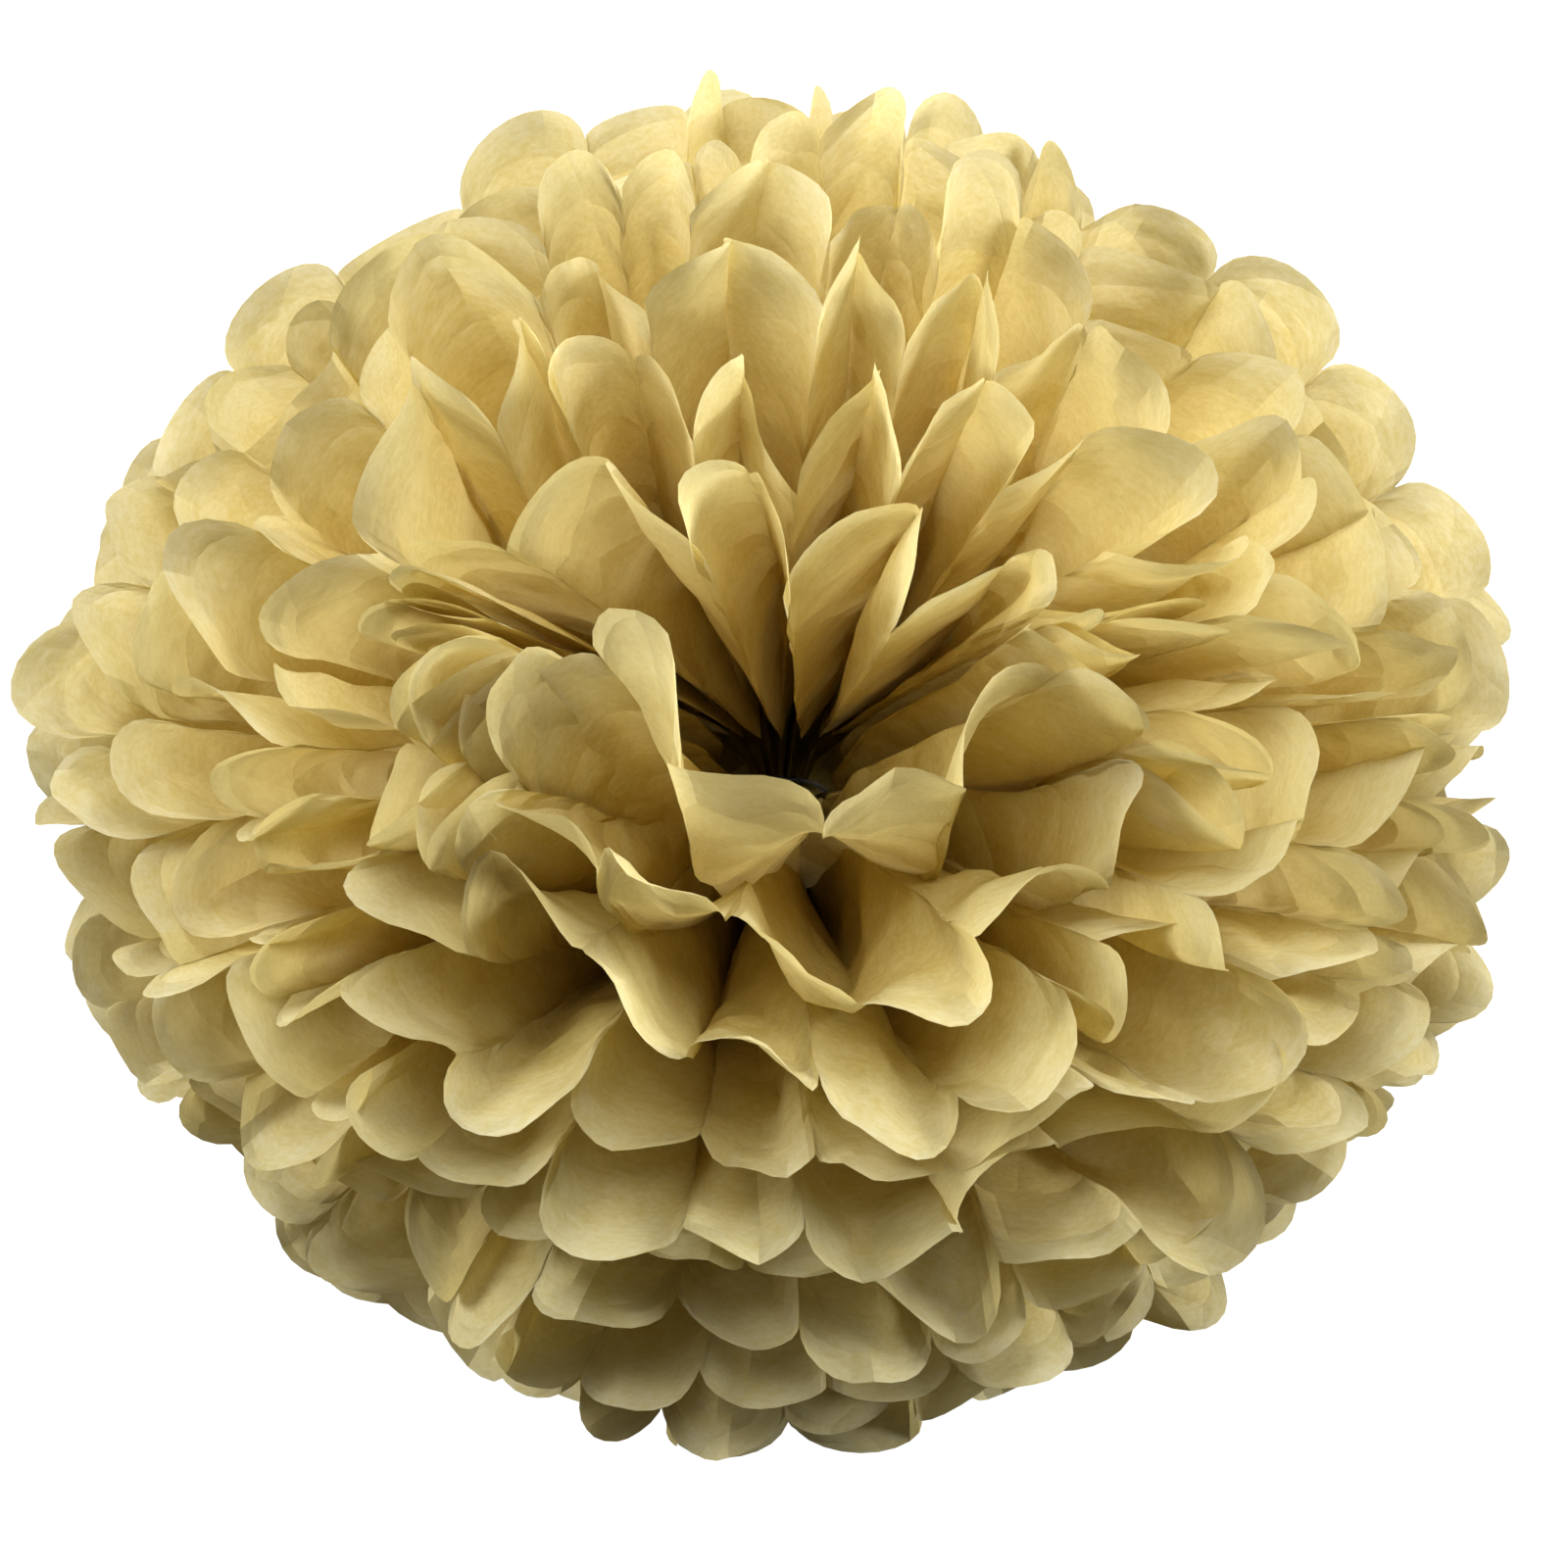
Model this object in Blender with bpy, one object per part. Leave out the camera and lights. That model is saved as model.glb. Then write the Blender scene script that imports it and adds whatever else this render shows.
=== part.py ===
"""Tissue paper pom pom.

Twelve sheets of tissue are folded together like an accordion, tied round the middle with wire,
cut round at both ends of every pleat and pulled apart, one after another, into a ball.

A point of a sheet is found from four numbers: its level (0 is the topmost sheet, 11 the lowest),
its turn round the half ball, its distance from the tie, and the half (front or back).
Surfaces of different level never meet, so the zigzag of a sheet is a small change of level.
"""
import math

import bpy
import numpy as np

# Sizes in metres
REACH = 0.125
SHEETS = 12
PLEATS = 18
PLEAT_WIDTH = 0.022
SCALLOP_DEPTH = 0.010
PAPER = 0.0003
TIE_HALF_GAP = 0.002
TIE_WIDTH = 0.009
SHEET_PITCH_AT_TIE = 0.0009
ROOT_DISTANCE = 0.010
OPEN_DISTANCE = 0.045
NOTCH_DISTANCE = REACH - SCALLOP_DEPTH
TABLE_BELOW_TIE = 0.076
STEP_ON_TABLE = 0.003

WIRE_RADIUS = 0.00045
WIRE_RING_RADIUS = 0.008
WIRE_TWIST_RADIUS = 0.0008
WIRE_TAIL = 0.013
WIRE_TWISTS = 2.5
RING_STEPS = 26
TWIST_STEPS = 20

# Angle of the petal tips from straight up, sheet by sheet, in degrees
FRONT_DEG = (18, 31, 42, 52, 60.5, 68, 78, 88, 99, 111, 124, 140)
BACK_DEG = (-4, 7, 19, 31, 43, 54, 66, 79, 93, 107, 121, 136)
SIDE_DEG = (27, 39, 46, 57, 62, 74, 80, 92, 98, 111, 123, 136)
LEAN_DEG = 10.0
ROOT_DEG = 6.5
CURL = 0.45

# The ball is pressed in a little low at the front and less at the back, and folds end short
# of their full reach by up to a share of it
FRONT_PRESS = 0.12
BACK_PRESS = 0.04
PRESS_DEG = 66.0
MOST_SHORT = 0.09
TOP_SHORT = 0.4

# Zigzag of the pleats, in levels: where sheets keep step, and where they don't
LOCK_ZIGZAG = 0.8
MIDWAY_ZIGZAG = 0.45
FREE_ZIGZAG = 0.40
SIDE_ZIGZAG = 0.5
TOP_ZIGZAG = 0.35
STEEPEST = 3.0
TOP_SHEETS = 3
TOP_ROUGH = 1.3
ROUGH = 0.9
TOP_NARROWEST = 0.003
NARROWEST = 0.0012
WIDEST = 0.97
LEAST_SHARE = 0.25
END_TURN = 0.01
SEED = 5

# The photograph's camera, high in front of the ball, and where the tie lies in its picture
CAMERA_UP_DEG = 66.0
CAMERA_DISTANCE = 6.0 * REACH
BALL_RADIUS_PX = 779
TIE_PX = (797, 815)
CAMERA_WAY = np.array([0.0, -math.cos(math.radians(CAMERA_UP_DEG)),
                       math.sin(math.radians(CAMERA_UP_DEG))])
FOCAL_PX = BALL_RADIUS_PX * math.sqrt((CAMERA_DISTANCE / REACH) ** 2 - 1)

# Folds that the photograph shows, by level and half, as picture columns from left to right
SEEN_FOLDS_PX = {
    (0, -1): (520, 670, 833, 985, 1145),
    (1, -1): (430, 575, 725, 880, 1020, 1180),
    (2, -1): (410, 545, 690, 838, 985, 1130),
    (3, -1): (407, 553, 700, 838, 990, 1160),
    (4, -1): (400, 540, 690, 825, 990, 1130),
    (5, -1): (440, 597, 755, 885, 1040, 1190),
    (6, -1): (530, 675, 818, 965),
    (0, 1): (500, 640, 690, 765, 800, 940, 985, 1065, 1160),
    (1, 1): (565, 640, 690, 745, 822, 900, 960, 1012, 1085, 1130, 1240),
    (2, 1): (545, 612, 645, 740, 842, 875, 940, 1012, 1045, 1120),
    (3, 1): (430, 540, 622, 695, 765, 855, 930, 985, 1062, 1160),
    (4, 1): (550, 700, 765, 830, 930, 1060),
    (5, 1): (590, 700, 730, 832, 850, 935, 1080, 1140)}

# Corners of a cut end: place across the pleat and share of the scallop's depth
END_CORNERS = ((0.28, 0.88), (0.72, 0.88))

PAPER_COLOUR = (0.55, 0.41, 0.19, 1.0)
WIRE_COLOUR = (0.42, 0.42, 0.40, 1.0)


def smooth(x):
    x = np.clip(x, 0.0, 1.0)
    return x * x * (3 - 2 * x)


def at_level(table, level):
    """Value of a table of the sheets at a level between or just beyond them."""
    ends = [2 * table[0] - table[1], *table, 2 * table[-1] - table[-2]]
    return np.interp(level, np.arange(-1, SHEETS + 1), ends)


def place(level, turn, distance, side):
    """Point of a sheet, from the tie; side is -1 in front and +1 at the back."""
    opened = smooth((distance - ROOT_DISTANCE) / (OPEN_DISTANCE - ROOT_DISTANCE))
    root = 90 + ROOT_DEG * (level - (SHEETS - 1) / 2)
    lean = LEAN_DEG * (1 - level / (SHEETS - 1))
    tips = at_level(FRONT_DEG if side < 0 else BACK_DEG, level) + side * lean
    curl = CURL * np.clip(1 - level / 8, -0.4, 1.1) * (1 - distance / REACH)
    ahead = root + (tips * (1 - curl) - root) * opened
    aside = root + (at_level(SIDE_DEG, level) * (1 - 0.6 * curl) - root) * opened
    flat_x = aside * np.cos(turn)
    flat_y = side * ahead * np.sin(turn) - lean * opened
    tilt = np.hypot(flat_x, flat_y)
    angle = np.radians(tilt)
    way = np.stack([flat_x, flat_y], axis=-1) * (np.sin(angle) / np.maximum(tilt, 1e-9))[..., None]
    up = np.cos(angle)
    press = np.radians(PRESS_DEG)
    low = -way[..., 1] * np.sin(press) - up * np.cos(press)
    pressed = FRONT_PRESS * smooth(low / 0.85) + BACK_PRESS * smooth((-low - 0.2) / 0.6)
    far = distance * (1 - pressed * opened)
    gap = TIE_HALF_GAP * (1 - 0.75 * smooth((distance - 0.025) / 0.05))
    return np.stack([far * way[..., 0], far * way[..., 1] + side * gap, far * up], axis=-1)


def level_speed(level, turn, distance, side):
    """How far a point moves for each level."""
    step = 1e-3
    move = place(level + step, turn, distance, side) - place(level - step, turn, distance, side)
    return np.linalg.norm(move, axis=-1) / (2 * step)


EVEN_TURNS = np.linspace(END_TURN, math.pi - END_TURN, PLEATS + 1)
CHANCE = np.random.RandomState(SEED)
SHARED_WIDTHS = {side: np.exp(CHANCE.normal(0, 0.35, PLEATS)) for side in (-1, 1)}
WAVE_STARTS = {side: CHANCE.uniform(0, 2 * math.pi, 3) for side in (-1, 1)}


def share_out(wanted, narrowest, length):
    """Spans like the wanted ones, none too narrow or wide where that can be, that fill a length."""
    low, high = 1e-4, 1.0
    for _ in range(40):
        scale = (low + high) / 2
        spans = np.clip(scale * wanted, narrowest, WIDEST * PLEAT_WIDTH)
        if spans.sum() > length:
            high = scale
        else:
            low = scale
    return spans * length / spans.sum()


def rim_turns(sheet, side):
    """Turns of a sheet's folds at the rim, those that the photograph shows and others by chance."""
    chance = np.random.RandomState(1000 + 37 * sheet + (5 if side > 0 else 0))
    middle = (np.arange(PLEATS) + 0.5) / PLEATS
    wanted = 0.55 + 0.45 * np.sin(math.pi * middle)
    rough, narrowest = (TOP_ROUGH, TOP_NARROWEST) if sheet < TOP_SHEETS else (ROUGH, NARROWEST)
    wanted = wanted * SHARED_WIDTHS[side] * np.exp(chance.normal(0, rough, PLEATS))
    turns = np.linspace(EVEN_TURNS[0], EVEN_TURNS[-1], 400)
    rim = place(np.full(400, float(sheet)), turns, np.full(400, REACH), side)
    along = np.concatenate([[0], np.cumsum(np.linalg.norm(np.diff(rim, axis=0), axis=1))])
    seen = SEEN_FOLDS_PX.get((sheet, side), ())
    if seen:
        columns = TIE_PX[0] + FOCAL_PX * rim[:, 0] / (CAMERA_DISTANCE - rim @ CAMERA_WAY)
        known = np.interp(-np.array(seen[::-1]), -columns, along)
        others = PLEATS - len(seen) + 1
        after = along[-1] - known[-1]
        before = int(round(others * known[0] / (known[0] + after)))
        left = np.cumsum(share_out(wanted[:before], narrowest, known[0]))
        right = known[-1] + np.cumsum(share_out(wanted[before + len(seen) - 1:], narrowest, after))
        folds = np.concatenate([[0], left, known[1:], right])
    else:
        folds = np.concatenate([[0], np.cumsum(share_out(wanted, narrowest, along[-1]))])
    return np.interp(folds, along, turns)


def petal_shorts(sheet, side):
    """How much short of their full reach a sheet's folds end, crumpled a little."""
    chance = np.random.RandomState(7000 + 100 * sheet + (7 if side > 0 else 3))
    return MOST_SHORT * min(1, TOP_SHORT + sheet) * chance.uniform(0, 1, PLEATS + 1) ** 2


def fold_points(sheet, side, distance, rim, short, most):
    """Points of all folds of a half sheet at one distance from the tie."""
    apart = smooth((distance / REACH - 0.35) / 0.65)
    turn = EVEN_TURNS + apart * (rim - EVEN_TURNS)
    first, second, third = WAVE_STARTS[side]
    wave = 0.28 * np.sin(2 * turn + first + 0.35 * sheet)
    wave = wave + 0.20 * np.sin(3.7 * turn + second - 0.3 * sheet)
    wave = wave + 0.14 * np.sin(6.1 * turn + third + 0.4 * sheet)
    level = sheet + wave * apart
    reach = np.full(PLEATS + 1, distance)
    span = np.linalg.norm(np.diff(place(level, turn, reach, side), axis=0), axis=1)
    width = PLEAT_WIDTH * (0.2 + 0.8 * smooth((distance - ROOT_DISTANCE) / 0.03))
    height = np.sqrt(np.maximum(width ** 2 - np.minimum(span, width) ** 2, (0.15 * width) ** 2))
    height = np.minimum(height, STEEPEST * span)
    beside = np.concatenate([[height[0]], height, [height[-1]]])
    zigzag = (beside[:-1] + beside[1:]) / 4 / level_speed(level, turn, reach, side)
    most = most * min(1, TOP_ZIGZAG * (1 + sheet))
    most = most * (SIDE_ZIGZAG + (1 - SIDE_ZIGZAG) * smooth(np.sin(turn) / 0.6))
    zigzag = np.minimum(zigzag, most) * np.where(np.arange(PLEATS + 1) % 2 == 0, 1.0, -1.0)
    return place(level + zigzag, turn, reach, side) * (1 - short[:, None] * apart)


def tie_points(sheet, side):
    """Points of all folds in the pressed pack beside the wire."""
    across = (0.5 - np.arange(PLEATS + 1) / PLEATS) * TIE_WIDTH
    high = ((SHEETS - 1) / 2 - sheet) * SHEET_PITCH_AT_TIE
    return np.stack([across, np.full_like(across, side * TIE_HALF_GAP),
                     np.full_like(across, high)], axis=-1)


def half_rows(sheet, side):
    """Rows of fold points from the tie to the notches, and the corners of the cut ends."""
    rim = rim_turns(sheet, side)
    short = petal_shorts(sheet, side)
    rows = [tie_points(sheet, side)]
    for distance, most in ((ROOT_DISTANCE, LOCK_ZIGZAG), (OPEN_DISTANCE, MIDWAY_ZIGZAG),
                           (NOTCH_DISTANCE, FREE_ZIGZAG)):
        rows.append(fold_points(sheet, side, distance, rim, short, most))
    ends = []
    for across, share in END_CORNERS:
        line = fold_points(sheet, side, NOTCH_DISTANCE + share * SCALLOP_DEPTH, rim, short,
                           FREE_ZIGZAG)
        ends.append(line[:-1] * (1 - across) + line[1:] * across)
    return rows, ends


def sheet_faces(sheet):
    """Corners and faces of one sheet, without its thickness."""
    points, faces = [], []
    tied = {}
    for side in (-1, 1):
        rows, ends = half_rows(sheet, side)
        index = []
        for row in rows:
            index.append(range(len(points), len(points) + PLEATS + 1))
            points.extend(row)
        tied[side] = index[0]
        corners = []
        for row in ends:
            corners.append(range(len(points), len(points) + PLEATS))
            points.extend(row)
        half = []
        for inner, outer in zip(index[:-1], index[1:]):
            for pleat in range(PLEATS):
                half.append([inner[pleat], outer[pleat], outer[pleat + 1], inner[pleat + 1]])
        last = index[-1]
        for pleat in range(PLEATS):
            half.append([last[pleat], *(corner[pleat] for corner in corners), last[pleat + 1]])
        faces.extend(half if side > 0 else [face[::-1] for face in half])
    for pleat in range(PLEATS):
        faces.append([tied[1][pleat + 1], tied[-1][pleat + 1], tied[-1][pleat], tied[1][pleat]])
    return np.array(points), faces


def through_paper(points, triangles):
    """Direction through the paper at every corner, well away from each face that meets there."""
    index = np.array(triangles)
    a, b, c = points[index[:, 0]], points[index[:, 1]], points[index[:, 2]]
    normals = np.cross(b - a, c - a)
    normals = normals / np.linalg.norm(normals, axis=1, keepdims=True)
    ways = np.zeros_like(points)
    for corner in range(3):
        np.add.at(ways, index[:, corner], normals)
    for _ in range(60):
        ways = ways / np.linalg.norm(ways, axis=1, keepdims=True)
        push = np.zeros_like(points)
        for corner in range(3):
            share = (ways[index[:, corner]] * normals).sum(axis=1)
            lacking = np.clip(LEAST_SHARE - share, 0, None)
            np.add.at(push, index[:, corner], normals * lacking[:, None])
        ways = ways + 0.5 * push
    return ways / np.linalg.norm(ways, axis=1, keepdims=True)


def sheet_solid(sheet):
    """Corners and triangles of one sheet with its thickness."""
    upper, faces = sheet_faces(sheet)
    count = len(upper)
    triangles = [(face[0], a, b) for face in faces for a, b in zip(face[1:-1], face[2:])]
    lower = upper - PAPER * through_paper(upper, triangles)
    lowest = (SHEETS - 1 - sheet) * STEP_ON_TABLE - TABLE_BELOW_TIE
    upper[:, 2] = np.maximum(upper[:, 2], lowest + PAPER)
    lower[:, 2] = np.maximum(lower[:, 2], lowest)
    edges = {(a, b) for face in faces for a, b in zip(face, face[1:] + face[:1])}
    solid = triangles + [(count + a, count + c, count + b) for a, b, c in triangles]
    for a, b in sorted(edges):
        if (b, a) not in edges:
            solid.append((b, a, count + a))
            solid.append((b, count + a, count + b))
    return np.concatenate([upper, lower]), solid


def wire_path():
    """Middle line of the wire: up one strand of the tail, round the pack and down the other."""
    tail_top = -WIRE_RING_RADIUS - 0.0014
    strand = []
    for step in range(TWIST_STEPS + 1):
        share = step / TWIST_STEPS
        angle = math.pi * 2 * WIRE_TWISTS * share
        strand.append((WIRE_TWIST_RADIUS * math.cos(angle), WIRE_TWIST_RADIUS * math.sin(angle),
                       tail_top - WIRE_TAIL * share))
    start = math.radians(9)
    ring = []
    for step in range(RING_STEPS + 1):
        angle = -math.pi / 2 + start + (2 * math.pi - 2 * start) * step / RING_STEPS
        ring.append((WIRE_RING_RADIUS * math.cos(angle), 0.0, WIRE_RING_RADIUS * math.sin(angle)))
    other = [(-x, -y, z) for x, y, z in strand]
    return strand[::-1] + ring + other


def make_material(name, colour, roughness, metallic):
    material = bpy.data.materials.new(name)
    material.use_nodes = True
    shader = material.node_tree.nodes["Principled BSDF"]
    shader.inputs["Base Color"].default_value = colour
    shader.inputs["Roughness"].default_value = roughness
    shader.inputs["Metallic"].default_value = metallic
    return material


def add_object(name, data, material):
    data.materials.append(material)
    thing = bpy.data.objects.new(name, data)
    bpy.context.scene.collection.objects.link(thing)
    return thing


def main():
    for thing in list(bpy.data.objects):
        bpy.data.objects.remove(thing, do_unlink=True)

    solids = [sheet_solid(sheet) for sheet in range(SHEETS)]
    corners = np.concatenate([solid[0] for solid in solids])
    low, high = corners.min(axis=0), corners.max(axis=0)
    shift = np.array([-(low[0] + high[0]) / 2, -(low[1] + high[1]) / 2, -low[2]])

    for sheet, (points, triangles) in enumerate(solids):
        name = f"tissue_sheet_{sheet + 1:02d}"
        mesh = bpy.data.meshes.new(name)
        mesh.from_pydata((points + shift).tolist(), [], triangles)
        mesh.update()
        add_object(name, mesh, make_material(f"{name}_paper", PAPER_COLOUR, 0.85, 0.0))

    path = np.array(wire_path()) + shift
    curve = bpy.data.curves.new("tie_wire", "CURVE")
    curve.dimensions = "3D"
    curve.bevel_depth = WIRE_RADIUS
    curve.bevel_resolution = 1
    curve.use_fill_caps = True
    spline = curve.splines.new("POLY")
    spline.points.add(len(path) - 1)
    for point, (x, y, z) in zip(spline.points, path):
        point.co = (x, y, z, 1.0)
    add_object("tie_wire", curve, make_material("tie_wire_steel", WIRE_COLOUR, 0.4, 0.9))


main()
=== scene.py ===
import math

import bpy
import numpy as np
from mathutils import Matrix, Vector


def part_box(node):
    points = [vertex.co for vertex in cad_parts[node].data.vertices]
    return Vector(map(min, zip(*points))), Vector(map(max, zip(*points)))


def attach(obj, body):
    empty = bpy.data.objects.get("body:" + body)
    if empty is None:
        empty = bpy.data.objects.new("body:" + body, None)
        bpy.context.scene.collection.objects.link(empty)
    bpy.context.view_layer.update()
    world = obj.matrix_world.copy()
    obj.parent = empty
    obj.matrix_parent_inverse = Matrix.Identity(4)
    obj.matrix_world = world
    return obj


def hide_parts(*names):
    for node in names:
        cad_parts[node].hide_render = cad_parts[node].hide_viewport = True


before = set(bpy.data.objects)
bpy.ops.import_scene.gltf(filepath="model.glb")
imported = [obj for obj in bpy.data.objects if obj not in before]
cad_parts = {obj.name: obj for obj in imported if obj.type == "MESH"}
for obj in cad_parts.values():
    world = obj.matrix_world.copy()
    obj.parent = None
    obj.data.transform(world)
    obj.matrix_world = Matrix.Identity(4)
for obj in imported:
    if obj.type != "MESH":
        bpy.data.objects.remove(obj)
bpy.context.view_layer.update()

# Twelve sheets of tissue paper: folded together like an accordion, tied round the middle, cut round
# at both ends of every pleat and pulled apart, one after another, into a ball.
# The paper is thin, matt and fibrous, keeps its creases and lets a good part of the light through.
REACH = 0.125
SHEETS = 12
PLEATS = 18
PLEAT_WIDTH = 0.022
SCALLOP_DEPTH = 0.008
TIE_HALF_GAP = 0.002
TIE_WIDTH = 0.009
SHEET_PITCH_AT_TIE = 0.0009
ROOT_DISTANCE = 0.010
OPEN_DISTANCE = 0.045
NOTCH_DISTANCE = REACH - SCALLOP_DEPTH
TABLE_BELOW_TIE = 0.076
STEP_ON_TABLE = 0.003

# Angle of the petal tips from straight up, sheet by sheet, in degrees
FRONT_DEG = (18, 31, 42, 52, 60.5, 68, 78, 88, 99, 111, 124, 140)
BACK_DEG = (-4, 7, 19, 31, 43, 54, 66, 79, 93, 107, 121, 136)
SIDE_DEG = (27, 39, 46, 57, 62, 74, 80, 92, 98, 111, 123, 136)
LEAN_DEG = 10.0
ROOT_DEG = 6.5
CURL = 0.45
CURL_LEVELS = 8
CURL_LIMITS = (-0.4, 1.1)
SIDE_CURL = 0.6
FRONT_PRESS = 0.12
BACK_PRESS = 0.04
PRESS_DEG = 66.0
PRESS_LOW_OVER = 0.85
PRESS_HIGH_FROM = 0.2
PRESS_HIGH_OVER = 0.6
BUD_SWELL_DEG = 13.0
BUD_LEVELS = 2.4
BUD_EDGE = 0.8
PINCH = 0.75
PINCH_FROM = 0.025
PINCH_OVER = 0.05

# Zigzag of the pleats, in levels, and how unevenly the pleats are pulled open
LOCK_ZIGZAG = 3.0
FREE_ZIGZAG = 0.55
STEEPEST = 14.0
FLATTER = 0.6
TOP_SHEETS = 3
TOP_ROUGH = 1.3
ROUGH = 0.9
TOP_NARROWEST = 0.0009
NARROWEST = 0.0012
WIDEST = 0.97
END_TURN = 0.02
MOST_SHORT = 0.09
TOP_SHORT = 0.4
SEED = 5

# The photograph's camera, high in front of the ball, and where the tie lies in its picture
CAMERA_UP_DEG = 66.0
CAMERA_DISTANCE = 6.0 * REACH
PICTURE = 1600
BALL_RADIUS_PX = 779
TIE_PX = (797, 815)
CAMERA_WAY = np.array([0.0, -math.cos(math.radians(CAMERA_UP_DEG)),
                       math.sin(math.radians(CAMERA_UP_DEG))])
FOCAL_PX = BALL_RADIUS_PX * math.sqrt((CAMERA_DISTANCE / REACH) ** 2 - 1)

# Folds that the photograph shows, by level and half, as picture columns from left to right
SEEN_FOLDS_PX = {
    (0, -1): (520, 670, 833, 985, 1145),
    (1, -1): (430, 575, 725, 880, 1020, 1180),
    (2, -1): (410, 545, 690, 838, 985, 1130),
    (3, -1): (407, 553, 700, 838, 990, 1160),
    (4, -1): (400, 540, 690, 825, 990, 1130),
    (5, -1): (440, 597, 755, 885, 1040, 1190),
    (6, -1): (530, 675, 818, 965),
    (0, 1): (500, 640, 690, 765, 800, 940, 985, 1065, 1160),
    (1, 1): (565, 640, 690, 745, 822, 900, 960, 1012, 1085, 1130, 1240),
    (2, 1): (545, 612, 645, 740, 842, 875, 940, 1012, 1045, 1120),
    (3, 1): (430, 540, 622, 695, 765, 855, 930, 985, 1062, 1160),
    (4, 1): (550, 700, 765, 830, 930, 1060),
    (5, 1): (590, 700, 730, 832, 850, 935, 1080, 1140)}

# Mesh of a half sheet: columns in a pleat, rows from the tie to the tips, steps of its fold lines
COLUMNS = 12
ROWS = 44
FOLD_STEPS = 64
LONGEST_TIP = 0.004

# Relief of single petals: uneven length, bulge, curled and twisted tips, ripples and creases
TIP_ROUGH = 0.0028
BULGE = 0.0018
BULGE_OVER = 0.08
TIP_CURL = 0.0038
TIP_TWIST = 0.0028
CURLED_FROM = 0.085
CURLED_OVER = 0.04
LOW_FRONT_CALM = 0.45
FIRST_LOW_SHEET = 3
RELIEF_FROM = 0.03
RELIEF_OVER = 0.05
RIPPLES = 6
RIPPLE = 0.15
RIPPLE_PACES = (250, 700)
RIPPLE_CREST = 0.98
RIPPLE_HEIGHT = 1.5
CLOSED_RIPPLE = 0.2
CREASES = 3
CREASE = 0.20
CREASE_TURN = 0.5
CREASE_STARTS = (-0.4, 0.4)
CREASE_CENTRE = 0.095
CREASED_FROM = 0.04
CREASE_DROP = 0.25
ROW_CROWDING = 0.8

tie_low, tie_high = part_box("tie_wire")
TIE = np.array([(tie_low[0] + tie_high[0]) / 2, (tie_low[1] + tie_high[1]) / 2, TABLE_BELOW_TIE])


def smooth(x):
    x = np.clip(x, 0.0, 1.0)
    return x * x * (3 - 2 * x)


def at_level(table, level):
    """Value of a table of the sheets at a level between or just beyond them."""
    ends = [2 * table[0] - table[1], *table, 2 * table[-1] - table[-2]]
    return np.interp(level, np.arange(-1, SHEETS + 1), ends)


def place(level, turn, distance, side):
    """Point of a sheet, from the tie; side is -1 in front and +1 at the back."""
    opened = smooth((distance - ROOT_DISTANCE) / (OPEN_DISTANCE - ROOT_DISTANCE))
    root = 90 + ROOT_DEG * (level - (SHEETS - 1) / 2)
    lean = LEAN_DEG * (1 - level / (SHEETS - 1))
    tips = at_level(FRONT_DEG if side < 0 else BACK_DEG, level) + side * lean
    curl = CURL * np.clip(1 - level / CURL_LEVELS, *CURL_LIMITS) * (1 - distance / REACH)
    ahead = root + (tips * (1 - curl) - root) * opened
    aside = root + (at_level(SIDE_DEG, level) * (1 - SIDE_CURL * curl) - root) * opened
    if side < 0:
        share = np.clip(distance / REACH, 0, 1)
        swell = BUD_SWELL_DEG * np.exp(-level / BUD_LEVELS) * smooth(np.sin(turn) / BUD_EDGE)
        ahead = ahead + swell * 4 * share * (1 - share) * opened
    flat_x = aside * np.cos(turn)
    flat_y = side * ahead * np.sin(turn) - lean * opened
    tilt = np.hypot(flat_x, flat_y)
    angle = np.radians(tilt)
    per_degree = np.sin(angle) / np.maximum(tilt, 1e-9)
    way = np.stack([flat_x, flat_y], axis=-1) * per_degree[..., None]
    up = np.cos(angle)
    press = np.radians(PRESS_DEG)
    low = -way[..., 1] * np.sin(press) - up * np.cos(press)
    pressed = FRONT_PRESS * smooth(low / PRESS_LOW_OVER)
    pressed = pressed + BACK_PRESS * smooth((-low - PRESS_HIGH_FROM) / PRESS_HIGH_OVER)
    far = distance * (1 - pressed * opened)
    gap = TIE_HALF_GAP * (1 - PINCH * smooth((distance - PINCH_FROM) / PINCH_OVER))
    return np.stack([far * way[..., 0], far * way[..., 1] + side * gap, far * up], axis=-1)


def level_speed(level, turn, distance, side):
    """How far a point moves for each level."""
    step = 1e-3
    move = place(level + step, turn, distance, side) - place(level - step, turn, distance, side)
    return np.linalg.norm(move, axis=-1) / (2 * step)


# The waves have a height in levels, a pace round the sheet and a drift from sheet to sheet
SHARED_ROUGH = 0.35
WAVES = ((0.28, 2, 0.35), (0.20, 3.7, -0.3), (0.14, 6.1, 0.4))
EVEN_TURNS = np.linspace(END_TURN, math.pi - END_TURN, PLEATS + 1)
CHANCE = np.random.RandomState(SEED)
SHARED_WIDTHS = {side: np.exp(CHANCE.normal(0, SHARED_ROUGH, PLEATS)) for side in (-1, 1)}
WAVE_STARTS = {side: CHANCE.uniform(0, 2 * math.pi, len(WAVES)) for side in (-1, 1)}

HALVINGS = 40
RIM_POINTS = 400
END_WIDTH = 0.55
MIDDLE_WIDER = 0.45


def share_out(wanted, narrowest, length):
    """Spans like the wanted ones, none too narrow or wide where that can be, that fill a length."""
    low, high = 1e-4, 1.0
    for _ in range(HALVINGS):
        scale = (low + high) / 2
        spans = np.clip(scale * wanted, narrowest, WIDEST * PLEAT_WIDTH)
        if spans.sum() > length:
            high = scale
        else:
            low = scale
    return spans * length / spans.sum()


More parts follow.
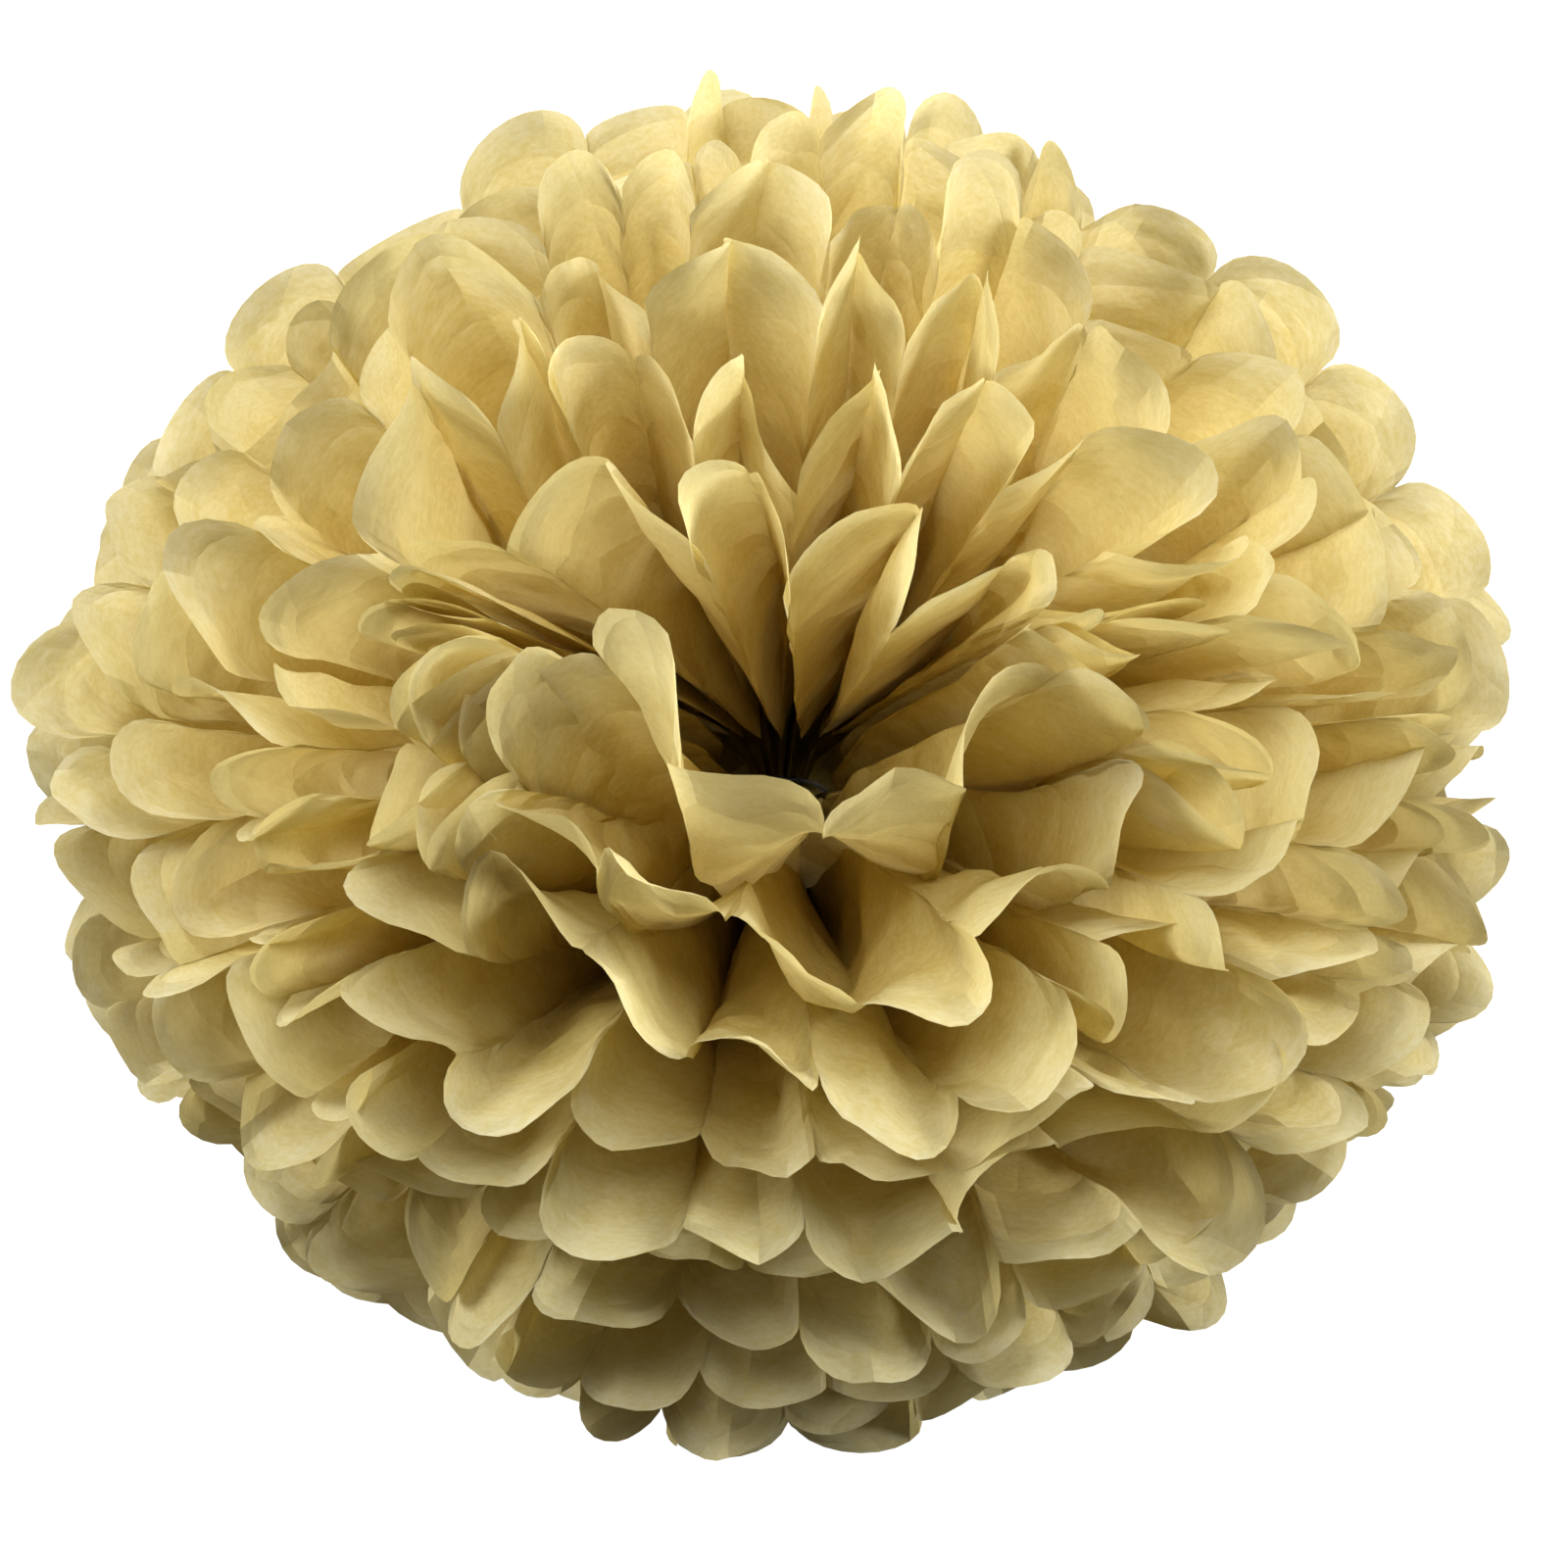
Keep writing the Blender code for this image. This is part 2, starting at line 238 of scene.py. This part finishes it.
def rim_turns(sheet, side):
    """Turns of a sheet's folds at the rim, those that the photograph shows and others by chance."""
    chance = np.random.RandomState(1000 + 37 * sheet + (5 if side > 0 else 0))
    middle = (np.arange(PLEATS) + 0.5) / PLEATS
    wanted = END_WIDTH + MIDDLE_WIDER * np.sin(math.pi * middle)
    rough, narrowest = (TOP_ROUGH, TOP_NARROWEST) if sheet < TOP_SHEETS else (ROUGH, NARROWEST)
    wanted = wanted * SHARED_WIDTHS[side] * np.exp(chance.normal(0, rough, PLEATS))
    turns = np.linspace(EVEN_TURNS[0], EVEN_TURNS[-1], RIM_POINTS)
    rim = place(np.full(RIM_POINTS, float(sheet)), turns, np.full(RIM_POINTS, REACH), side)
    along = np.concatenate([[0], np.cumsum(np.linalg.norm(np.diff(rim, axis=0), axis=1))])
    seen = SEEN_FOLDS_PX.get((sheet, side), ())
    if seen:
        columns = TIE_PX[0] + FOCAL_PX * rim[:, 0] / (CAMERA_DISTANCE - rim @ CAMERA_WAY)
        known = np.interp(-np.array(seen[::-1]), -columns, along)
        others = PLEATS - len(seen) + 1
        after = along[-1] - known[-1]
        before = int(round(others * known[0] / (known[0] + after)))
        left = np.cumsum(share_out(wanted[:before], narrowest, known[0]))
        right = known[-1] + np.cumsum(share_out(wanted[before + len(seen) - 1:], narrowest, after))
        folds = np.concatenate([[0], left, known[1:], right])
    else:
        folds = np.concatenate([[0], np.cumsum(share_out(wanted, narrowest, along[-1]))])
    return np.interp(folds, along, turns)


def petal_shorts(sheet, side):
    """How much short of their full reach a sheet's folds end, crumpled a little."""
    chance = np.random.RandomState(7000 + 100 * sheet + (7 if side > 0 else 3))
    return MOST_SHORT * min(1, TOP_SHORT + sheet) * chance.uniform(0, 1, PLEATS + 1) ** 2


ROOT_WIDTH = 0.5
WIDENS_OVER = 0.02
LEAST_HEIGHT = 0.15
FLATTER_FROM = 0.75
FLATTER_OVER = 0.2
FREE_FROM = 0.35
FREE_OVER = 0.65
FREEST = 1.5


def fold_points(sheet, side, distance, rim, short):
    """Points of all folds of a half sheet at one distance from the tie, and the pleats' spans."""
    apart = max(0.0, (1 - OPEN_DISTANCE / distance) / (1 - OPEN_DISTANCE / REACH))
    turn = EVEN_TURNS + apart * (rim - EVEN_TURNS)
    wave = 0
    for (high, pace, drift), start in zip(WAVES, WAVE_STARTS[side]):
        wave = wave + high * np.sin(pace * turn + start + drift * sheet)
    level = sheet + wave * apart
    reach = np.full(PLEATS + 1, distance)
    span = np.linalg.norm(np.diff(place(level, turn, reach, side), axis=0), axis=1)
    widened = smooth((distance - ROOT_DISTANCE) / WIDENS_OVER)
    width = PLEAT_WIDTH * (ROOT_WIDTH + (1 - ROOT_WIDTH) * widened)
    least = (LEAST_HEIGHT * width) ** 2
    height = np.sqrt(np.maximum(width ** 2 - np.minimum(span, width) ** 2, least))
    height = np.minimum(height, STEEPEST * span)
    height = height * (1 - FLATTER * smooth((span / width - FLATTER_FROM) / FLATTER_OVER))
    beside = np.concatenate([[height[0]], height, [height[-1]]])
    zigzag = (beside[:-1] + beside[1:]) / 4 / level_speed(level, turn, reach, side)
    free = FREEST * smooth((distance / REACH - FREE_FROM) / FREE_OVER)
    most = FREE_ZIGZAG / np.clip(free, FREE_ZIGZAG / LOCK_ZIGZAG, 1)
    zigzag = np.minimum(zigzag, most) * np.where(np.arange(PLEATS + 1) % 2 == 0, 1.0, -1.0)
    return place(level + zigzag, turn, reach, side) * (1 - short[:, None] * apart), span


def petals(sheet, side):
    """Points of a half sheet, rows from the tie outwards and columns across the pleats."""
    chance = np.random.RandomState(9000 + 100 * sheet + (7 if side > 0 else 3))
    across = (1 - np.cos(np.linspace(0, math.pi, COLUMNS + 1))) / 2
    tip = SCALLOP_DEPTH * np.sqrt(np.clip(1 - (2 * across - 1) ** 2, 0, 1))
    rim = rim_turns(sheet, side)
    short = petal_shorts(sheet, side)
    steps = np.linspace(ROOT_DISTANCE, REACH + LONGEST_TIP, FOLD_STEPS)
    lines = [fold_points(sheet, side, step, rim, short) for step in steps]
    folds = np.array([line[0] for line in lines])
    spans = np.array([line[1] for line in lines])
    rows = np.linspace(0, 1, ROWS) ** ROW_CROWDING
    longer = chance.normal(0, TIP_ROUGH, PLEATS)
    bulge, curl, twist = chance.normal(0, 1, (3, PLEATS))
    ripples = [(chance.uniform(*RIPPLE_PACES), chance.uniform(-math.pi, math.pi),
                chance.uniform(0, 6.28)) for _ in range(RIPPLES)]
    calm = LOW_FRONT_CALM if side < 0 and sheet >= FIRST_LOW_SHEET else 1.0
    slopes = chance.normal(0, CREASE, (CREASES, PLEATS))
    ways = chance.normal(0, CREASE_TURN, (CREASES, PLEATS))
    starts = chance.uniform(*CREASE_STARTS, (CREASES, PLEATS)) * PLEAT_WIDTH
    points = np.zeros((ROWS, PLEATS * COLUMNS + 1, 3))
    for column in range(PLEATS * COLUMNS + 1):
        pleat = min(column // COLUMNS, PLEATS - 1)
        share = across[column - pleat * COLUMNS]
        rise = tip[column - pleat * COLUMNS]
        end = NOTCH_DISTANCE + rise * (1 + longer[pleat] / SCALLOP_DEPTH)
        distance = ROOT_DISTANCE + rows * (end - ROOT_DISTANCE)
        step = (distance - steps[0]) / (steps[1] - steps[0])
        index = np.clip(step.astype(int), 0, FOLD_STEPS - 2)
        rest = (step - index)[:, None]
        left = folds[index, pleat] * (1 - rest) + folds[index + 1, pleat] * rest
        right = folds[index, pleat + 1] * (1 - rest) + folds[index + 1, pleat + 1] * rest
        point = left * (1 - share) + right * share
        outward = point / np.linalg.norm(point, axis=1, keepdims=True)
        normal = np.cross(right - left, outward)
        normal = normal / np.maximum(np.linalg.norm(normal, axis=1, keepdims=True), 1e-9)
        spread = np.clip(spans[index, pleat] / PLEAT_WIDTH, 0, 1)
        arch = 4 * share * (1 - share)
        far = np.clip((distance - CURLED_FROM) / CURLED_OVER, 0, None) ** 2
        lift = BULGE * bulge[pleat] * arch * smooth((distance - RELIEF_FROM) / BULGE_OVER)
        curled = TIP_CURL * curl[pleat] * arch ** 0.6
        twisted = TIP_TWIST * twist[pleat] * (share - 0.5) * 2 * arch ** 0.4
        lift = lift + calm * (curled + twisted) * far * spread
        ahead = (pleat + share) * PLEAT_WIDTH
        for pace, way, start in ripples:
            phase = pace * (math.cos(way) * ahead + math.sin(way) * distance) + start
            ripple = np.arcsin(RIPPLE_CREST * np.sin(phase)) / RIPPLE_HEIGHT
            rising = smooth((distance - RELIEF_FROM) / RELIEF_OVER)
            lift = lift + RIPPLE / pace * ripple * rising * (
                CLOSED_RIPPLE + (1 - CLOSED_RIPPLE) * spread)
        for slope, way, start in zip(slopes[:, pleat], ways[:, pleat], starts[:, pleat]):
            aside = (share - 0.5) * PLEAT_WIDTH * math.cos(way)
            aside = aside + (distance - CREASE_CENTRE) * math.sin(way)
            bend = slope * (np.abs(aside - start) - CREASE_DROP * PLEAT_WIDTH) * arch ** 0.4
            lift = lift + bend * smooth((distance - CREASED_FROM) / RELIEF_OVER) * spread
        points[:, column] = point + normal * lift[:, None]
    return points


def tie_row(sheet):
    """Points across the strip where the wire holds it."""
    columns = np.arange(PLEATS * COLUMNS + 1) / (PLEATS * COLUMNS)
    high = ((SHEETS - 1) / 2 - sheet) * SHEET_PITCH_AT_TIE
    return np.stack([(0.5 - columns) * TIE_WIDTH, np.zeros_like(columns),
                     np.full_like(columns, high)], axis=-1)


class Value:
    """A shader socket that adds, subtracts and multiplies like a number."""

    def __init__(self, tree, socket):
        self.tree = tree
        self.socket = socket

    def math(self, operation, other):
        node = self.tree.nodes.new("ShaderNodeMath")
        node.operation = operation
        for socket, value in zip(node.inputs, (self, other)):
            if isinstance(value, Value):
                self.tree.links.new(value.socket, socket)
            else:
                socket.default_value = value
        return Value(self.tree, node.outputs[0])

    def __add__(self, other):
        return self.math("ADD", other)

    def __sub__(self, other):
        return self.math("SUBTRACT", other)

    def __mul__(self, other):
        return self.math("MULTIPLY", other)

    def power(self, other):
        return self.math("POWER", other)

    def limited(self):
        value = self.math("ADD", 0.0)
        value.socket.node.use_clamp = True
        return value


class Nodes:
    """The nodes of a new material or world."""

    def __init__(self, owner):
        owner.use_nodes = True
        self.tree = owner.node_tree
        self.tree.nodes.clear()

    def add(self, kind, output, values=None, **settings):
        node = self.tree.nodes.new(kind)
        for name, value in settings.items():
            setattr(node, name, value)
        for name, value in (values or {}).items():
            if isinstance(value, Value):
                self.tree.links.new(value.socket, node.inputs[name])
            else:
                node.inputs[name].default_value = value
        return Value(self.tree, node.outputs[output])

    def finish(self, kind, surface):
        output = self.tree.nodes.new(kind)
        self.tree.links.new(surface.socket, output.inputs["Surface"])


# Sockets of a colour Mix node, whose names are those of its other data types too
MIX_SHARE, MIX_FROM, MIX_TO, MIXED = 0, 6, 7, 2
DEEP_GOLD = (0.66, 0.48, 0.11, 1)
GOLD = (0.83, 0.68, 0.25, 1)
# The pale golds of the rims are painted light: the glow of light shining through the thin paper,
# laid into its colour.
RIM_LIGHT_GOLD = (0.76, 0.66, 0.30, 1)
RIM_LIGHT_PALEST_GOLD = (0.88, 0.82, 0.53, 1)
THROUGH_GOLD = (0.80, 0.68, 0.29, 1)
THROUGH_SHARE = 0.45
FIBRES_SEEN = 1.9
CLOUDS_SEEN = 1.5
MOTTLE_LOWER = 1.2
# Where and how steeply the colour turns from the deeper gold near the tie, painted shade, to the
# painted light of the pale rims.
RIM_LIGHT_FROM = 0.6
RIM_LIGHT_PACE = 2.5
RIM_LIGHT_POWER = 2.2
WRINKLE_HEIGHT = 0.0018
CRUMPLE_HEIGHT = 0.0020
SHARP_DEG = 22
ABOVE_TABLE = 0.0002
NEAREST_AXIS = 0.01
PATTERN_STEP = 0.3

tissue = bpy.data.materials.new("tissue_paper")
nodes = Nodes(tissue)
paper_uv = nodes.add("ShaderNodeUVMap", "UV", uv_map="paper")
from_tie = nodes.add("ShaderNodeAttribute", "Fac", attribute_name="from_tie")
fibres = nodes.add("ShaderNodeTexNoise", "Fac", {
    "Vector": paper_uv, "Scale": 900.0, "Detail": 2.0, "Roughness": 0.75}, noise_dimensions="2D")
clouds = nodes.add("ShaderNodeTexNoise", "Fac", {
    "Vector": paper_uv, "Scale": 140.0, "Detail": 3.0, "Roughness": 0.65}, noise_dimensions="2D")
wrinkles = nodes.add("ShaderNodeTexNoise", "Fac", {
    "Vector": paper_uv, "Scale": 55.0, "Detail": 2.0, "Roughness": 0.55}, noise_dimensions="2D")
crumples = nodes.add("ShaderNodeTexVoronoi", "Distance", {
    "Vector": paper_uv, "Scale": 75.0}, voronoi_dimensions="2D")
mottle = fibres * FIBRES_SEEN + clouds * CLOUDS_SEEN - MOTTLE_LOWER
golden = nodes.add("ShaderNodeMix", MIXED, {
    MIX_SHARE: mottle, MIX_FROM: DEEP_GOLD, MIX_TO: GOLD}, data_type="RGBA")
# Pale colour of the rims: painted light shining through the paper, mottled like the rest.
rim_painted_light_colour = nodes.add("ShaderNodeMix", MIXED, {
    MIX_SHARE: mottle, MIX_FROM: RIM_LIGHT_GOLD, MIX_TO: RIM_LIGHT_PALEST_GOLD}, data_type="RGBA")
# Paler towards the rims and deeper gold towards the tie, by the distance from the tie: painted light
# at the rims and painted shade in the crowded middle of the ball.
painted_rim_light = ((from_tie - RIM_LIGHT_FROM) * RIM_LIGHT_PACE).limited().power(RIM_LIGHT_POWER)
colour = nodes.add("ShaderNodeMix", MIXED, {
    MIX_SHARE: painted_rim_light, MIX_FROM: golden, MIX_TO: rim_painted_light_colour}, data_type="RGBA")
bump = nodes.add("ShaderNodeBump", "Normal", {
    "Height": wrinkles * WRINKLE_HEIGHT + crumples * CRUMPLE_HEIGHT,
    "Distance": 1.0, "Strength": 0.9})
face = nodes.add("ShaderNodeBsdfPrincipled", "BSDF", {
    "Base Color": colour, "Roughness": 0.6, "Normal": bump, "Specular IOR Level": 0.0})
through = nodes.add("ShaderNodeBsdfTranslucent", "BSDF", {"Color": THROUGH_GOLD, "Normal": bump})
nodes.finish("ShaderNodeOutputMaterial", nodes.add("ShaderNodeMixShader", "Shader", {
    0: THROUGH_SHARE, 1: face, 2: through}))

FLAT_SIZE = (PLEATS * PLEAT_WIDTH, 2 * REACH)

for sheet in range(SHEETS):
    bpy.ops.object.select_all(action="DESELECT")
    bpy.ops.mesh.primitive_grid_add(x_subdivisions=PLEATS * COLUMNS, y_subdivisions=2 * ROWS,
                                    size=1, calc_uvs=False)
    piece = bpy.context.object
    piece.name = f"folded_sheet_{sheet + 1:02d}"
    points = np.concatenate([petals(sheet, -1)[::-1], tie_row(sheet)[None], petals(sheet, 1)])
    table = (SHEETS - 1 - sheet) * STEP_ON_TABLE - TABLE_BELOW_TIE + ABOVE_TABLE
    under = np.maximum(table - points[..., 2], 0.0)
    from_axis = np.maximum(np.hypot(points[..., 0], points[..., 1]), NEAREST_AXIS)
    points[..., :2] *= (1 + under / from_axis)[..., None]
    points[..., 2] = np.maximum(points[..., 2], table)
    flat = np.stack(np.meshgrid(np.linspace(0, FLAT_SIZE[0], PLEATS * COLUMNS + 1),
                                np.linspace(-REACH, REACH, 2 * ROWS + 1)), axis=-1)
    mesh = piece.data
    mesh.vertices.foreach_set("co", (points + TIE).ravel())
    uv = mesh.uv_layers.new(name="paper")
    corner = np.zeros(len(mesh.loops), dtype=np.int32)
    mesh.loops.foreach_get("vertex_index", corner)
    beside_others = np.array([0.0, PATTERN_STEP * sheet])
    uv.data.foreach_set("uv", (flat.reshape(-1, 2)[corner] + beside_others).ravel())
    share_of_reach = np.abs(flat[..., 1]).ravel() / REACH
    mesh.attributes.new("from_tie", "FLOAT", "POINT").data.foreach_set("value", share_of_reach)
    mesh.shade_smooth()
    mesh.set_sharp_from_angle(angle=math.radians(SHARP_DEG))
    mesh.materials.clear()
    mesh.materials.append(tissue)
    mesh.update()
    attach(piece, "root")
    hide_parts(f"tissue_sheet_{sheet + 1:02d}")

# The tie: a short length of thin steel wire, bent round the middle of the folded strip and twisted
# together underneath. The solid has its full shape and gets the finish of drawn wire.
STEEL = (0.42, 0.42, 0.40, 1)
SMOOTHEST_WIRE = 0.28
WIRE_ROUGHER = 0.25

steel = bpy.data.materials.new("tie_wire_steel")
nodes = Nodes(steel)
wire_place = nodes.add("ShaderNodeTexCoord", "Object")
drawn = nodes.add("ShaderNodeTexNoise", "Fac", {"Vector": wire_place, "Scale": 900.0, "Detail": 3.0})
nodes.finish("ShaderNodeOutputMaterial", nodes.add("ShaderNodeBsdfPrincipled", "BSDF", {
    "Base Color": STEEL, "Metallic": 1.0, "Roughness": drawn * WIRE_ROUGHER + SMOOTHEST_WIRE}))
for wire_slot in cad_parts["tie_wire"].material_slots:
    wire_slot.material = steel

# The camera of the photograph, high in front of the ball, aimed at the tie.
# Its shift puts the tie where it lies in the picture.
SENSOR_MM = 36.0
away = Vector(CAMERA_WAY)
bpy.ops.object.select_all(action="DESELECT")
bpy.ops.object.camera_add(location=Vector(TIE) + away * CAMERA_DISTANCE)
camera = bpy.context.object
camera.rotation_mode = "QUATERNION"
camera.rotation_quaternion = away.to_track_quat("Z", "Y")
camera.data.sensor_width = SENSOR_MM
camera.data.lens = SENSOR_MM * FOCAL_PX / PICTURE
camera.data.shift_x = (PICTURE / 2 - TIE_PX[0]) / PICTURE
camera.data.shift_y = (TIE_PX[1] - PICTURE / 2) / PICTURE
bpy.context.scene.camera = camera

# The stage: a plain floor and surroundings that the camera and shiny things see as white, and that
# throw little light back up, with a wide soft light overhead and a small one at each side.
SURROUNDINGS = 0.08
FLOOR_BOUNCE = (0.03, 0.03, 0.03, 1)
FLOOR_SEEN = (0.30, 0.30, 0.30, 1)
FLOOR_GLOW = 0.95
FLOOR_SIZE = 12.0
FLOOR_HIGH = -0.0005
WHITE = (1, 1, 1, 1)
LIGHTS = (("top_light", (0.0, 0.34, 0.98), 1.1, 14.8),
          ("left_light", (-0.96, 0.12, 0.38), 0.45, 10.0),
          ("right_light", (0.96, 0.12, 0.38), 0.45, 11.5))


def seen_directly(nodes):
    """1 for what the camera sees itself or in a shiny thing."""
    camera_ray = nodes.add("ShaderNodeLightPath", "Is Camera Ray")
    glossy_ray = nodes.add("ShaderNodeLightPath", "Is Glossy Ray")
    return (camera_ray + glossy_ray).limited()


bpy.ops.object.select_all(action="DESELECT")
bpy.ops.mesh.primitive_plane_add(size=FLOOR_SIZE, location=(0, 0, FLOOR_HIGH))
floor = bpy.context.object
floor.name = "floor"
white = bpy.data.materials.new("white_floor")
nodes = Nodes(white)
bounce = nodes.add("ShaderNodeBsdfDiffuse", "BSDF", {"Color": FLOOR_BOUNCE})
paper_white = nodes.add("ShaderNodeBsdfPrincipled", "BSDF", {
    "Base Color": FLOOR_SEEN, "Roughness": 1.0, "Specular IOR Level": 0.0,
    "Emission Color": WHITE, "Emission Strength": FLOOR_GLOW})
nodes.finish("ShaderNodeOutputMaterial", nodes.add("ShaderNodeMixShader", "Shader", {
    0: seen_directly(nodes), 1: bounce, 2: paper_white}))
floor.data.materials.append(white)

world = bpy.data.worlds.new("soft_white")
bpy.context.scene.world = world
nodes = Nodes(world)
around = nodes.add("ShaderNodeBackground", "Background", {
    "Color": WHITE, "Strength": SURROUNDINGS})
backdrop = nodes.add("ShaderNodeBackground", "Background", {"Color": WHITE, "Strength": 1.0})
nodes.finish("ShaderNodeOutputWorld", nodes.add("ShaderNodeMixShader", "Shader", {
    0: seen_directly(nodes), 1: around, 2: backdrop}))

for name, light_place, size, power in LIGHTS:
    bpy.ops.object.light_add(type="AREA", location=light_place)
    light = bpy.context.object
    light.name = name
    light.data.size = size
    light.data.energy = power
    light.rotation_mode = "QUATERNION"
    light.rotation_quaternion = (Vector(light_place) - Vector(TIE)).to_track_quat("Z", "Y")

bpy.context.scene.view_settings.view_transform = "Standard"
